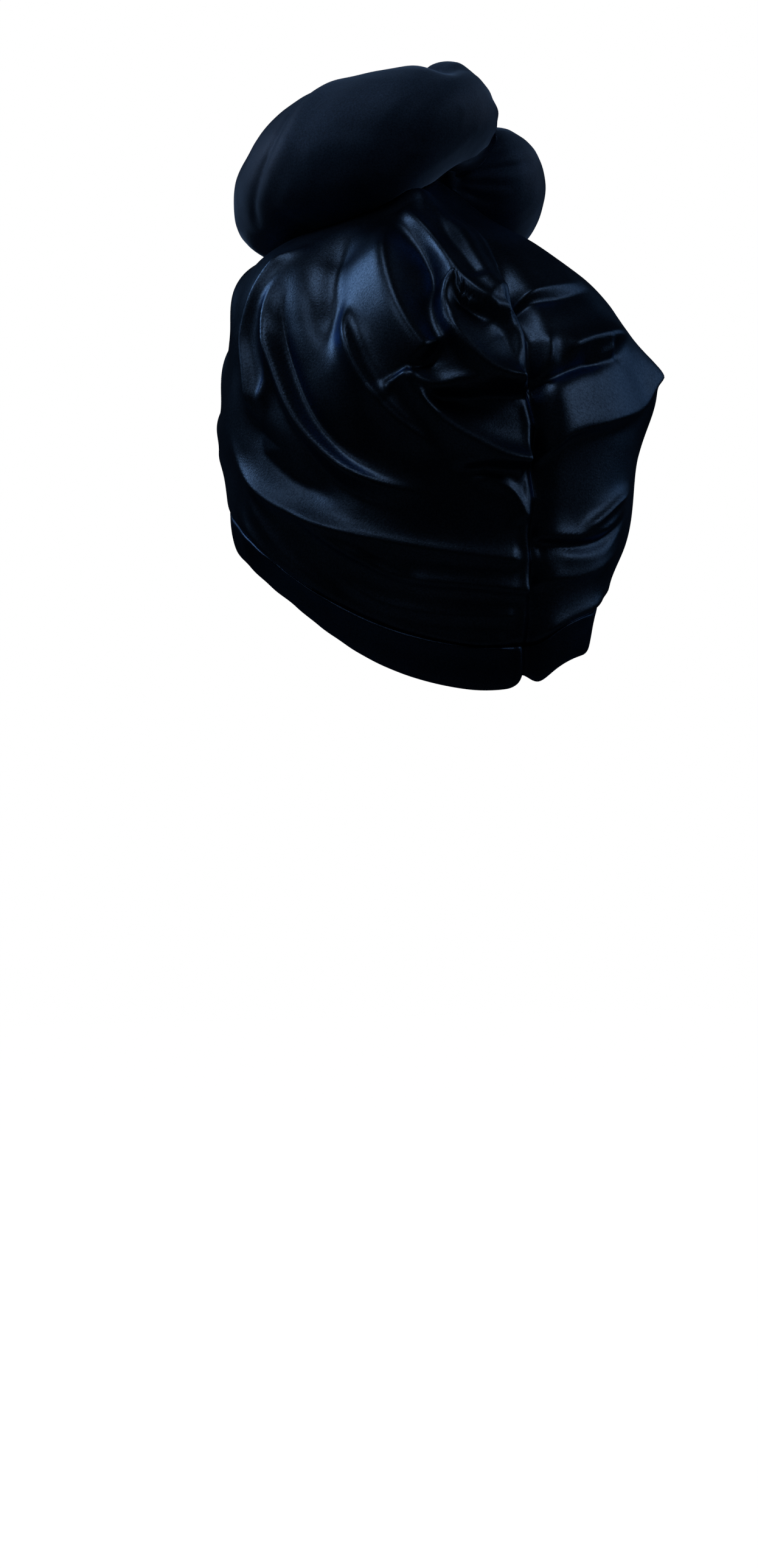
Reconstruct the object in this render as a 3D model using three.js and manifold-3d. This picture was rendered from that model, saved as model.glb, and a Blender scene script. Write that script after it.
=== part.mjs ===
// A velvet turban headwrap with a knotted top, built as a three.js scene graph. Millimetres, +Z up.
//
// The wearer faces -Y and the wearer's left is +X. The origin is on the upright axis of the head, level
// with the lowest point of the hem at the nape: the middle of the opening that the head goes into.
//
// The cap is described by two numbers. "angle" goes round the head in degrees, from 0 at the centre-back
// seam to 180 at the forehead, and is positive on the wearer's left. "height" climbs the cap in
// millimetres: up to EQUATOR it is simply z, and above that it follows the curve of the dome up to the
// crown.
import * as THREE from 'three';
import { mergeVertices } from 'three/addons/utils/BufferGeometryUtils.js';
import Module from 'manifold-3d';

const EQUATOR = 95; // z of the widest level of the head, and of the point that the dome is measured from
const DOME_RADIUS = 100; // turns the dome's tilt into millimetres of height
const CROWN = EQUATOR + (DOME_RADIUS * Math.PI) / 2; // height of the crown point
const WALL = 2.4; // two layers of stretch velvet
const HEM_DEPTH = 17; // width of the turned hem below its stitched line
const HEM_WALL = 3.0; // the hem is folded double
const HEM_GAP = 0.5; // between the hem and the cap above it
const HEM_CORNER = 5; // how much is rounded off the hem's corners at the back seam
const SEAM_GAP = 0.4; // between the two halves along the centre line
const KNOT_GAP = 0.45; // between the knot and what it rests on
const LAP_GAP = 0.6; // between the cap and the hem's tucked edge
const FOLDS_START = 0.3; // share of the hem's depth at which the cap's folds begin to show
const LAP_WALL = 1.4; // the hem's thickness at its tucked edge
const HEAD_GAP = 0.8; // between the cap's inner face and the head
const CUT_DEPTH = 60; // how far below the cap's outer face the knot's rolls are cut away
const PANEL_ROWS = 28;
const LEFT_COLUMNS = 36;
const RIGHT_COLUMNS = 31;
const NARROWEST_FOLD = 9; // narrower folds are drawn this wide, and as much shallower

// How far the tight cloth stands from the axis, or from the dome's point above the equator, towards the
// back, the front and the sides. Rows up to the equator give z, and the others give the tilt of the dome
// in degrees.
const LOWER_SECTIONS = [
  { z: -20, back: 78, front: 76, side: 50 },
  { z: 0, back: 82, front: 84, side: 56 },
  { z: 30, back: 86, front: 90, side: 65 },
  { z: 60, back: 90, front: 92, side: 76 },
  { z: EQUATOR, back: 91, front: 94, side: 80 },
];
const DOME_SECTIONS = [
  { tilt: 20, back: 92, front: 98, side: 85 },
  { tilt: 32, back: 91, front: 102, side: 92 },
  { tilt: 41, back: 90, front: 107, side: 98 },
  { tilt: 50, back: 91, front: 110, side: 101 },
  { tilt: 70, back: 94, front: 107, side: 99 },
  { tilt: 90, back: 96, front: 96, side: 96 },
];

// The head inside, which no fold can press into.
const HEAD = { back: 86, front: 88, side: 75.5, up: 84, neck: 0.7 };

// Broad swellings where the loose cloth stands off the head, hollows above the hem, and the peak where the
// cloth is gathered up into the knot.
const SWELLINGS = [
  { angle: 180, height: 243, spread: 20, rise: 16 },
  { angle: 60, height: 232, spread: 26, rise: 4 },
  { angle: 14, height: 150, spread: 34, rise: 5 },
  { angle: -58, height: 126, spread: 17, rise: 10 },
  { angle: -30, height: 150, spread: 30, rise: 3 },
  { angle: -52, height: 26, spread: 24, rise: -9 },
  { angle: -68, height: 186, spread: 20, rise: -5 },
  { angle: 117, height: 182, spread: 32, rise: 4 },
  { angle: 117, height: 100, spread: 55, rise: 3 },
];

// Folds in the cloth. "rise" is the height of a ridge, or the depth of a crease if it is negative. "above"
// and "below" are its widths on its two sides, and "from" and "to" are the shares of its length over which
// it fades.
const LEFT_FOLDS = [
  { name: 'tongue_1', path: [[50, 238], [17, 214], [12, 189], [5, 155]],
    rise: 8, above: 12, below: 8, from: 0.2, to: 0.15 },
  { name: 'pleat_2', path: [[49, 223], [23, 185], [14, 161], [4, 155]],
    rise: 5.5, above: 7, below: 5, from: 0.25, to: 0 },
  { name: 'hook', path: [[22, 163], [17, 158], [12, 153], [7, 151]],
    rise: -5.5, above: 2, below: 6, from: 0.2, to: 0.3 },
  { name: 'pleat_3', path: [[22, 171], [25, 162], [20, 139], [3, 120]],
    rise: 7, above: 10, below: 4, from: 0.1, to: 0 },
  { name: 'valley_3', path: [[40, 200], [28, 172], [26, 145], [22, 133]],
    rise: -5, above: 3, below: 7, from: 0.3, to: 0.2 },
  { name: 'broad_4', path: [[54, 216], [42, 170], [32, 138], [28, 130]],
    rise: 8, above: 11, below: 14, from: 0.3, to: 0.1 },
  { name: 'hollow_4', path: [[74, 210], [62, 167], [58, 148], [52, 132]], rise: -6, above: 12, below: 11,
    from: 0.3, to: 0.4 },
  { name: 'pocket_5', path: [[31, 116], [24, 117], [16, 117], [3, 117]],
    rise: -6, above: 2, below: 14, from: 0.15, to: 0 },
  { name: 'pleat_5', path: [[35, 127], [28, 111], [17, 96], [2, 88]],
    rise: 7, above: 7, below: 7, from: 0.1, to: 0 },
  { name: 'pocket_7', path: [[24, 83], [15, 85], [8, 85], [2, 86]],
    rise: -3.5, above: 2, below: 10, from: 0.3, to: 0 },
  { name: 'swirl_6', path: [[57, 158], [49, 130], [35, 103], [26, 90]],
    rise: 4.5, above: 8, below: 8, from: 0.2, to: 0.2 },
  { name: 'swirl_8', path: [[86, 160], [73, 126], [54, 89], [25, 74]],
    rise: 4.5, above: 7, below: 7, from: 0.15, to: 0.3 },
  { name: 'swirl_9', path: [[98, 92], [82, 76], [35, 56], [3, 50]],
    rise: 3.5, above: 8, below: 5, from: 0.2, to: 0 },
  { name: 'side_10', path: [[84, 186], [95, 148], [91, 130], [87, 108]],
    rise: 4, above: 7, below: 7, from: 0.2, to: 0.15 },
  { name: 'low_14', path: [[70, 70], [51, 53], [35, 43], [3, 38]],
    rise: 3, above: 7, below: 5, from: 0.2, to: 0 },
];
const RIGHT_FOLDS = [
  { name: 'crease_1', path: [[1, 160], [-13, 169], [-29, 172], [-45, 175]],
    rise: -4, above: 3, below: 9, from: 0, to: 0.4 },
  { name: 'ridge_2', path: [[-8, 134], [-24, 143], [-38, 147], [-52, 151]],
    rise: 4, above: 7, below: 5, from: 0.2, to: 0.4 },
  { name: 'crease_3', path: [[1, 120], [-15, 131], [-27, 135], [-42, 141]],
    rise: -5, above: 5, below: 4, from: 0, to: 0.4 },
  { name: 'step_4', path: [[0, 89], [-9, 102], [-23, 108], [-60, 132]],
    rise: 3.5, above: 14, below: 5, from: 0, to: 0.1 },
  { name: 'crescent_7', path: [[1, 63], [-8, 62], [-26, 70], [-40, 82]],
    rise: 3, above: 8, below: 3, from: 0, to: 0.3 },
  { name: 'pocket_7', path: [[0, 59], [-16, 58], [-26, 63], [-38, 74]],
    rise: -4.5, above: 2, below: 5, from: 0.1, to: 0.3 },
  { name: 'crease_9', path: [[2, 40], [-14, 45], [-26, 51], [-38, 60]],
    rise: 2.5, above: 7, below: 4, from: 0, to: 0.4 },
  { name: 'side_11', path: [[-84, 162], [-90, 140], [-84, 112], [-70, 95]],
    rise: 3.5, above: 9, below: 8, from: 0.3, to: 0.3 },
  { name: 'side_12', path: [[-98, 80], [-80, 52], [-56, 42], [-30, 38]],
    rise: 2.5, above: 8, below: 7, from: 0.2, to: 0.2 },
];
// Folds that fan out from below the knot at the front, the same on both sides.
const FRONT_FOLDS = [
  { name: 'fan_1', path: [[174, 196], [150, 184], [124, 166], [104, 140]],
    rise: 5, above: 8, below: 8, from: 0.1, to: 0.5 },
  { name: 'fan_2', path: [[176, 180], [155, 160], [132, 138], [112, 116]],
    rise: 5, above: 8, below: 8, from: 0.1, to: 0.5 },
  { name: 'fan_3', path: [[177, 160], [160, 136], [136, 116], [110, 98]],
    rise: 5, above: 8, below: 8, from: 0.1, to: 0.5 },
  { name: 'fan_4', path: [[178, 136], [160, 116], [136, 101], [110, 86]],
    rise: 4, above: 8, below: 8, from: 0.1, to: 0.5 },
];

// The hem's cross-section from its lower edge up. "share" is the share of its depth and "above" is added
// to it.
const HEM_ROWS = [
  { share: 0, above: 0, plump: -1.2, tucked: false },
  { share: 0.3, above: 0, plump: 0, tucked: false },
  { share: 0.75, above: 0, plump: -0.2, tucked: false },
  { share: 1, above: -0.8, plump: 0, tucked: true },
  { share: 1, above: 3, plump: 0, tucked: true },
];

// The seam at the centre back: how far it runs to the wearer's left, and how deep it lies, at each height.
// It is deepest and furthest left where a pleat is tucked into it.
const BACK_SEAM = [
  { height: 0, left: 0.5, depth: 2 },
  { height: 17, left: 1.0, depth: 3.5 },
  { height: 39, left: 1.2, depth: 4 },
  { height: 60, left: 2.0, depth: 5 },
  { height: 74, left: 0.8, depth: 3 },
  { height: 87, left: 1.5, depth: 6.5 },
  { height: 104, left: 0.5, depth: 4.5 },
  { height: 121, left: 2.0, depth: 9 },
  { height: 142, left: 0.8, depth: 5 },
  { height: 162, left: 2.2, depth: 10 },
  { height: 190, left: -1, depth: 2 },
  { height: 208, left: -3, depth: 0 },
  { height: 240, left: -1, depth: 0 },
];
// The left half dives into the seam, and the right half slopes down to it.
const BACK_SEAM_WIDTH = { left: 5, right: 8 };
// The seams are flat where the knot stands on the crown, from and to these distances from the axis, and the
// back seam's sway ends below the crown.
const SEAM_STARTS = { none: 5, full: 40 };
const SWAY_ENDS = 235;
const FRONT_SEAM = { depth: 5, width: 8 };
const SEAM_SINK = 4; // how far the seam allowance may press into the hair
const SEAM_ROLL = 4; // each fold rolls down to the seam over this distance
const SEAM_SWAY = 16; // degrees from the seam over which the cloth follows its sideways run

// The two stuffed rolls of the knot go round an upright axis in front of the crown. "turn" is measured
// like "angle", "out" is the distance from that axis, and "wide" and "tall" are half the roll's width and
// height. "lean" slides the lower half of the roll outwards.
const KNOT_AXIS = { x: 0, y: -38 };
const OVER_ROLL = [
  { turn: -56, out: 34, z: 235, wide: 8, tall: 9, lean: 0 },
  { turn: -43, out: 33, z: 236, wide: 17, tall: 18, lean: 0 },
  { turn: -12, out: 32, z: 235, wide: 25.5, tall: 24, lean: 0 },
  { turn: 27, out: 33, z: 223.5, wide: 30, tall: 33, lean: 4 },
  { turn: 50, out: 34, z: 219.5, wide: 31, tall: 34, lean: 7 },
  { turn: 75, out: 35, z: 218, wide: 31, tall: 33, lean: 8 },
  { turn: 120, out: 35, z: 211.5, wide: 30.5, tall: 34, lean: 10 },
  { turn: 165, out: 35, z: 207, wide: 28, tall: 30, lean: 6 },
  { turn: 200, out: 36, z: 208, wide: 20, tall: 22, lean: 0 },
  { turn: 216, out: 36, z: 208, wide: 10, tall: 10, lean: 0 },
];
const UNDER_ROLL = [
  { turn: -146, out: 34, z: 212, wide: 9, tall: 9, lean: 0 },
  { turn: -130, out: 39, z: 210, wide: 22, tall: 23, lean: 0 },
  { turn: -105, out: 43, z: 208, wide: 26, tall: 27, lean: 0 },
  { turn: -75, out: 43, z: 209, wide: 25, tall: 28, lean: 0 },
  { turn: -52, out: 40, z: 212, wide: 21, tall: 23, lean: 0 },
  { turn: -34, out: 33, z: 212, wide: 14, tall: 15, lean: 0 },
  { turn: -20, out: 29, z: 210, wide: 7, tall: 8, lean: 0 },
];
const ROLL_SIDES = 14;
const ROLL_STEPS = 4; // sections from one row of a roll's table to the next

const radians = THREE.MathUtils.degToRad;
const smoothstep = (x, from, to) => THREE.MathUtils.smoothstep(x, from, to);

const SECTIONS = [
  ...LOWER_SECTIONS.map((row) => ({ ...row, height: row.z })),
  ...DOME_SECTIONS.map((row) => ({ ...row, height: EQUATOR + DOME_RADIUS * radians(row.tilt) })),
];

// A column of the section table at any height, joined by smooth cubic pieces.
function sectionSize(column, height) {
  const last = SECTIONS.length - 1;
  let i = 0;
  while (i < last - 1 && SECTIONS[i + 1].height < height) i += 1;
  const slope = (k) => {
    const low = SECTIONS[Math.max(k - 1, 0)];
    const high = SECTIONS[Math.min(k + 1, last)];
    return (high[column] - low[column]) / (high.height - low.height);
  };
  const [a, b] = [SECTIONS[i], SECTIONS[i + 1]];
  const span = b.height - a.height;
  const t = THREE.MathUtils.clamp((height - a.height) / span, 0, 1);
  return (
    (2 * t ** 3 - 3 * t ** 2 + 1) * a[column] +
    (t ** 3 - 2 * t ** 2 + t) * span * slope(i) +
    (3 * t ** 2 - 2 * t ** 3) * b[column] +
    (t ** 3 - t ** 2) * span * slope(i + 1)
  );
}

const tiltAt = (height) => Math.max(0, (height - EQUATOR) / DOME_RADIUS);

// Distance of an ellipse with a different length to the back and to the front.
function ellipse(angle, back, front, side) {
  const [c, s] = [Math.cos(radians(angle)), Math.sin(radians(angle))];
  return 1 / Math.hypot(c / (c > 0 ? back : front), s / side);
}

const tightCloth = (angle, height) =>
  ellipse(angle, sectionSize('back', height), sectionSize('front', height), sectionSize('side', height));

function headSurface(angle, height) {
  const level = ellipse(angle, HEAD.back, HEAD.front, HEAD.side);
  const tilt = tiltAt(height);
  if (tilt === 0) return level * (HEAD.neck + ((1 - HEAD.neck) * Math.max(height, 0)) / EQUATOR);
  return 1 / Math.hypot(Math.cos(tilt) / level, Math.sin(tilt) / HEAD.up);
}

// The point at a distance from the axis, or from the dome's point above the equator.
function capPoint(angle, height, distance) {
  const tilt = tiltAt(height);
  return new THREE.Vector3(
    distance * Math.cos(tilt) * Math.sin(radians(angle)),
    distance * Math.cos(tilt) * Math.cos(radians(angle)),
    Math.min(height, EQUATOR) + distance * Math.sin(tilt),
  );
}

const onTightCloth = (angle, height) => capPoint(angle, height, tightCloth(angle, height));

// Each fold's line on the tight cloth, ready to be measured from.
const FOLD_STEPS = 24;
function layFold(fold) {
  const line = new THREE.CatmullRomCurve3(
    fold.path.map(([angle, height]) => new THREE.Vector3(angle, height, 0)),
  );
  const points = line.getPoints(FOLD_STEPS).map((p) => onTightCloth(p.x, p.y));
  return { ...fold, points };
}
const mirrored = (fold) => {
  const path = fold.path.map(([angle, height]) => [-angle, height]).reverse();
  return { ...fold, path, from: fold.to, to: fold.from };
};
const HALVES = {
  left: [...LEFT_FOLDS, ...FRONT_FOLDS].map(layFold),
  right: [...RIGHT_FOLDS, ...FRONT_FOLDS.map(mirrored)].map(layFold),
};

// Rise of one fold at a point of the tight cloth. A fold is a bell across its line, with its own width on
// each side, and it fades towards the ends of the line.
function foldRise(fold, place) {
  let nearest = Infinity;
  let share = 0;
  let side = 1;
  for (let i = 0; i < FOLD_STEPS; i += 1) {
    const [a, b] = [fold.points[i], fold.points[i + 1]];
    const along = b.clone().sub(a);
    const t = THREE.MathUtils.clamp(place.clone().sub(a).dot(along) / along.lengthSq(), 0, 1);
    const off = place.clone().sub(a).addScaledVector(along, -t);
    if (off.length() < nearest) {
      nearest = off.length();
      share = (i + t) / FOLD_STEPS;
      const outward = new THREE.Vector3(place.x, place.y, Math.max(place.z - EQUATOR, 0));
      side = outward.cross(along).dot(off);
    }
  }
  const trueWidth = side > 0 ? fold.above : fold.below;
  const width = Math.max(trueWidth, NARROWEST_FOLD);
  const fadeIn = fold.from > 0 ? smoothstep(share, 0, fold.from) : 1;
  const fadeOut = fold.to > 0 ? 1 - smoothstep(share, 1 - fold.to, 1) : 1;
  return fold.rise * (trueWidth / width) * fadeIn * fadeOut * Math.exp(-((nearest / width) ** 2));
}

const swellingRise = (swelling, place) => {
  const distance = place.distanceTo(onTightCloth(swelling.angle, swelling.height));
  return swelling.rise * Math.exp(-((distance / swelling.spread) ** 2));
};

// Columns of the seam's table at any height, joined by straight lines.
function backSeam(height) {
  const i = THREE.MathUtils.clamp(BACK_SEAM.findIndex((row) => row.height > height), 1, BACK_SEAM.length - 1);
  const [low, high] = [BACK_SEAM[i - 1], BACK_SEAM[i]];
  const t = THREE.MathUtils.clamp((height - low.height) / (high.height - low.height), 0, 1);
  const lerp = THREE.MathUtils.lerp;
  return { left: lerp(low.left, high.left, t), depth: lerp(low.depth, high.depth, t) };
}

// The back and front seams pull the cloth in along the centre line. This is the pull, from 0 to 1, and its
// depth.
function seamPull(angle, height, place) {
  const atBack = Math.cos(radians(angle)) > 0;
  const backWidth = angle > 0 ? BACK_SEAM_WIDTH.left : BACK_SEAM_WIDTH.right;
  const awayFromCrown = smoothstep(Math.hypot(place.x, place.y), SEAM_STARTS.none, SEAM_STARTS.full);
  const pull = awayFromCrown * Math.exp(-((place.x / (atBack ? backWidth : FRONT_SEAM.width)) ** 2));
  return { pull, depth: atBack ? backSeam(height).depth : FRONT_SEAM.depth, sink: atBack ? SEAM_SINK : 0 };
}

// Distance of the cloth's outer face. Its folds can be made to show less, as they do on the hem.
function outerCloth(angle, height, foldsShow = 1) {
  const tight = tightCloth(angle, height);
  const place = capPoint(angle, height, tight);
  const { pull, depth, sink } = seamPull(angle, height, place);
  let rise = -pull * depth;
  for (const swelling of SWELLINGS) rise += swellingRise(swelling, place);
  const show = foldsShow * (1 - Math.exp(-((place.x / SEAM_ROLL) ** 2)));
  for (const fold of HALVES[angle > 0 ? 'left' : 'right']) rise += show * foldRise(fold, place);
  return Math.max(tight + rise, headSurface(angle, height) + WALL + HEAD_GAP - pull * sink);
}

// How far the cloth near the back seam is carried sideways with it.
const seamShift = (angle, height) =>
  backSeam(height).left * Math.exp(-((angle / SEAM_SWAY) ** 2)) * (1 - smoothstep(height, SWAY_ENDS, CROWN));

// Lowest edge of the hem. It climbs from the nape to the forehead, and a little sooner on the wearer's
// right.
function hemHeight(angle) {
  const c = Math.cos(radians(angle));
  const awayFromSeam = 1 - Math.exp(-((angle / 10) ** 2));
  return 39 * (1 - c) + (angle > 0 ? -2.5 : 11 * Math.max(c, 0)) * awayFromSeam;
}
// The hem's lower corner is rounded off on each side of the back seam.
const hemCorner = (angle) => HEM_CORNER * Math.exp(-((angle / 3) ** 2));

// A closed wall between an outer and an inner face, each a grid of points with the same rows and columns.
// The last row may close to a single point at the crown.
function wallGeometry(outer, inner, closedTop) {
  const rows = outer.length;
  const columns = outer[0].length;
  const positions = [];
  const index = [];
  const add = (grid) => grid.map((row) => row.map((p) => positions.push(p.x, p.y, p.z) / 3 - 1));
  const [o, i] = [add(outer), add(inner)];
  const quad = (a, b, c, d) => index.push(a, b, c, a, c, d);
  for (let r = 0; r < rows - 1; r += 1) {
    for (let c = 0; c < columns - 1; c += 1) {
      quad(o[r][c], o[r][c + 1], o[r + 1][c + 1], o[r + 1][c]);
      quad(i[r][c + 1], i[r][c], i[r + 1][c], i[r + 1][c + 1]);
    }
    quad(o[r][0], o[r + 1][0], i[r + 1][0], i[r][0]);
    quad(o[r + 1][columns - 1], o[r][columns - 1], i[r][columns - 1], i[r + 1][columns - 1]);
  }
  for (let c = 0; c < columns - 1; c += 1) {
    quad(o[0][c + 1], o[0][c], i[0][c], i[0][c + 1]);
    if (!closedTop) quad(o[rows - 1][c], o[rows - 1][c + 1], i[rows - 1][c + 1], i[rows - 1][c]);
  }
  return cleaned(positions, index);
}

// Merges points that are in the same place, and drops the triangles that have closed up.
function cleaned(positions, index) {
  const raw = new THREE.BufferGeometry();
  raw.setAttribute('position', new THREE.Float32BufferAttribute(positions, 3));
  raw.setIndex(index);
  const merged = mergeVertices(raw, 1e-3);
  const kept = [];
  const all = merged.index.array;
  for (let t = 0; t < all.length; t += 3) {
    const [a, b, c] = all.slice(t, t + 3);
    if (a !== b && b !== c && c !== a) kept.push(a, b, c);
  }
  merged.setIndex(kept);
  return merged;
}

// Columns of one half go from the back seam to the front seam, closer together near the back seam.
const columnAngle = (share, side) => side * 180 * share ** 1.25;

// One half of the cap between two depths below its outer face. A negative depth is above the face.
function panelGeometry(side, outerDepth, innerDepth, gap) {
  const columns = side > 0 ? LEFT_COLUMNS : RIGHT_COLUMNS;
  const grid = (depth) =>
    Array.from({ length: PANEL_ROWS + 1 }, (_, r) =>
      Array.from({ length: columns + 1 }, (_, c) => {
        const angle = columnAngle(c / columns, side);
        const bottom = hemHeight(angle) + HEM_DEPTH + HEM_GAP;
        const height = bottom + (CROWN - bottom) * (r / PANEL_ROWS);
        const point = capPoint(angle, height, outerCloth(angle || side * 1e-6, height) - depth);
        point.x += seamShift(angle, height) + (side * gap) / 2;
        return point;
      }),
    );
  const [outer, inner] = [grid(outerDepth), grid(innerDepth)];
  const onLeft = side > 0;
  return wallGeometry(onLeft ? mirrorRows(outer) : outer, onLeft ? mirrorRows(inner) : inner, true);
}
const mirrorRows = (grid) => grid.map((row) => [...row].reverse());

// The turned hem: a double fold of cloth below the stitched line, plumper in the middle. Its upper edge is
// tucked in behind the cap.
function hemGeometry(side) {
  const columns = side > 0 ? LEFT_COLUMNS : RIGHT_COLUMNS;
  const grid = (inner) =>
    HEM_ROWS.map(({ share, above, plump, tucked }) =>
      Array.from({ length: columns + 1 }, (_, c) => {
        const angle = columnAngle(c / columns, side);
        const bottom = hemHeight(angle) + hemCorner(angle);
        const height = bottom + (HEM_DEPTH - hemCorner(angle)) * share + above;
        const onSide = angle || side * 1e-6;
        const visible = outerCloth(onSide, height, smoothstep(share, FOLDS_START, 1)) + plump;
        const behind = outerCloth(onSide, height) - WALL - LAP_GAP;
        const face = tucked ? behind : visible;
        const point = capPoint(angle, height, face - (inner ? (tucked ? LAP_WALL : HEM_WALL) : 0));
        point.x += seamShift(angle, height) + (side * SEAM_GAP) / 2;
        return point;
      }),
    );
  const [outer, inner] = [grid(false), grid(true)];
  const onLeft = side > 0;
  return wallGeometry(onLeft ? mirrorRows(outer) : outer, onLeft ? mirrorRows(inner) : inner, false);
}

// A stuffed roll: rounded upright sections round the knot's axis, closed to a point at each end. "swell"
// makes it larger all over.
function rollGeometry(stations, swell) {
  const steps = (stations.length - 1) * ROLL_STEPS;
  const curve = (keys) => new THREE.CatmullRomCurve3(
    stations.map((row) => new THREE.Vector3(...keys.map((key) => row[key]))));
  const line = curve(['turn', 'out', 'z']);
  const sizes = curve(['wide', 'tall', 'lean']);
  const positions = [];
  const index = [];
  for (let s = 0; s <= steps; s += 1) {
    const t = s / steps;
    const fromEnd = Math.min(t, 1 - t) * steps;
    const roundOff = Math.sqrt(Math.max(0, 1 - Math.max(0, 1 - fromEnd / 3) ** 2));
    const tip = fromEnd < 0.5;
    const centre = line.getPoint(t);
    const overrun = tip ? (Math.sign(t - 0.5) * 2 * swell) / centre.y : 0;
    const turn = radians(centre.x) + overrun;
    const size = sizes.getPoint(t);
    const lean = tip ? 0 : size.z;
    const wide = tip ? 0 : size.x * roundOff + swell;
    const tall = tip ? 0 : size.y * roundOff + swell;
    for (let k = 0; k < ROLL_SIDES; k += 1) {
      const around = (2 * Math.PI * k) / ROLL_SIDES;
      const out = centre.y + wide * Math.cos(around) - lean * roundOff * Math.sin(around);
      positions.push(
        KNOT_AXIS.x + out * Math.sin(turn),
        KNOT_AXIS.y + out * Math.cos(turn),
        centre.z + tall * Math.sin(around),
      );
      if (s < steps) {
        const [a, b] = [s * ROLL_SIDES + k, s * ROLL_SIDES + ((k + 1) % ROLL_SIDES)];
        index.push(a, b, b + ROLL_SIDES, a, b + ROLL_SIDES, a + ROLL_SIDES);
      }
    }
  }
  return cleaned(positions, index);
}

const wasm = await Module();
wasm.setup();
const solidOf = (geometry) =>
  new wasm.Manifold(
    new wasm.Mesh({
      numProp: 3,
      vertProperties: new Float32Array(geometry.attributes.position.array),
      triVerts: new Uint32Array(geometry.index.array),
    }),
  );
function geometryOf(solid) {
  const mesh = solid.getMesh();
  const geometry = new THREE.BufferGeometry();
  geometry.setAttribute('position', new THREE.Float32BufferAttribute(mesh.vertProperties, 3));
  geometry.setIndex(new THREE.BufferAttribute(mesh.triVerts, 1));
  return geometry;
}

const velvet = (color, roughness) =>
  new THREE.MeshStandardMaterial({ color, roughness, metalness: 0 });

function add(group, name, geometry, material) {
  const mesh = new THREE.Mesh(geometry, material);
  mesh.name = name;
  group.add(mesh);
}

const turban = new THREE.Group();
const capVelvet = velvet(0x0d1a33, 0.55);
const hemVelvet = velvet(0x0a1428, 0.65);
const knotVelvet = velvet(0x101f3c, 0.6);

add(turban, 'left_panel', panelGeometry(1, 0, WALL, SEAM_GAP), capVelvet);
add(turban, 'right_panel', panelGeometry(-1, 0, WALL, SEAM_GAP), capVelvet);
add(turban, 'hem_left', hemGeometry(1), hemVelvet);
add(turban, 'hem_right', hemGeometry(-1), hemVelvet);

// The knot is cut to rest on the cap: this is the space below the cap's outer face and a small gap.
const half = (side) => solidOf(panelGeometry(side, -KNOT_GAP, CUT_DEPTH, -SEAM_GAP));
const cap = half(1).add(half(-1));
const overRoll = solidOf(rollGeometry(OVER_ROLL, 0)).subtract(cap);
const overRollAndGap = solidOf(rollGeometry(OVER_ROLL, KNOT_GAP));
const underRoll = solidOf(rollGeometry(UNDER_ROLL, 0)).subtract(cap).subtract(overRollAndGap);
add(turban, 'knot_over_roll', geometryOf(overRoll), knotVelvet);
add(turban, 'knot_under_roll', geometryOf(underRoll), knotVelvet);

export default turban;
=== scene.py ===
# %% [markdown]
# # A velvet turban with a coiled knot
# This turban is sewn ready to wear. Two halves of stretch velvet meet in a seam at the centre back, and
# every pleat is caught in that seam. A folded hem holds the head, and two stuffed rolls are coiled into a
# knot on top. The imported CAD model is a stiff, simple version of the same thing, so it is loaded first: it
# says where each piece is, and every piece made below takes the place of one of its nodes.

# %% Load the frame
import math
from collections import namedtuple

import bpy
import numpy as np
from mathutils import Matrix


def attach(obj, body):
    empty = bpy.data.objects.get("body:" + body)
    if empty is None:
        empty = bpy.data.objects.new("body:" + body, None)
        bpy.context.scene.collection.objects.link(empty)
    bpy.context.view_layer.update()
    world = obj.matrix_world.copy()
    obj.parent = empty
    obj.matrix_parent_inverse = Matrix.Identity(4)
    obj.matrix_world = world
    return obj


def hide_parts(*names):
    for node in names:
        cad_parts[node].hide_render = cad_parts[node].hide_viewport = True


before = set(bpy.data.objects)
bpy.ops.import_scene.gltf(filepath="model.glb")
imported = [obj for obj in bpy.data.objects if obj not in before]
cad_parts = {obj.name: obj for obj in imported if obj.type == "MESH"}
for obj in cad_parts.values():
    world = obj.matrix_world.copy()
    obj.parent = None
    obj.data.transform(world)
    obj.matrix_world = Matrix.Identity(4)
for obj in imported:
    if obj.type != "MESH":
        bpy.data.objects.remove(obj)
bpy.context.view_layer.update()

MM = 0.001  # the tables below are in millimetres, and Blender's unit is the metre
ROOT = "root"  # cloth has no joints, so every piece rides on the one body

# %% [markdown]
# ## The camera
# The turban is seen from behind, a little to the wearer's left, from a stand's width away and level with
# the bottom of the hem. A long lens keeps its proportions. Azimuth 0 looks along +Y, so the camera's place
# is worked out from the angle with one sine and one cosine, and it is turned by that same angle about the
# upright axis.

# %% Camera
CAMERA_AZIMUTH = math.radians(153)
CAMERA_DISTANCE = 2.0
PICTURE_HEIGHT = 0.639  # how much of the world the picture's height takes in at that distance
SENSOR = 36.0

away = np.array([math.sin(CAMERA_AZIMUTH), -math.cos(CAMERA_AZIMUTH), 0.0])
to_the_right = np.array([math.cos(CAMERA_AZIMUTH), math.sin(CAMERA_AZIMUTH), 0.0])
aim = -0.022 * to_the_right + np.array([0.0, 0.0, -0.0377])

lens = bpy.data.cameras.new("camera")
lens.sensor_width = SENSOR
lens.lens = SENSOR * CAMERA_DISTANCE / PICTURE_HEIGHT
lens.clip_end = 50
camera = bpy.data.objects.new("camera", lens)
camera.location = aim + CAMERA_DISTANCE * away
camera.rotation_euler = (math.pi / 2, 0, CAMERA_AZIMUTH)
bpy.context.scene.collection.objects.link(camera)
bpy.context.scene.camera = camera
print("lens", round(lens.lens, 1), "mm, camera at", [round(v, 3) for v in camera.location])

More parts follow.
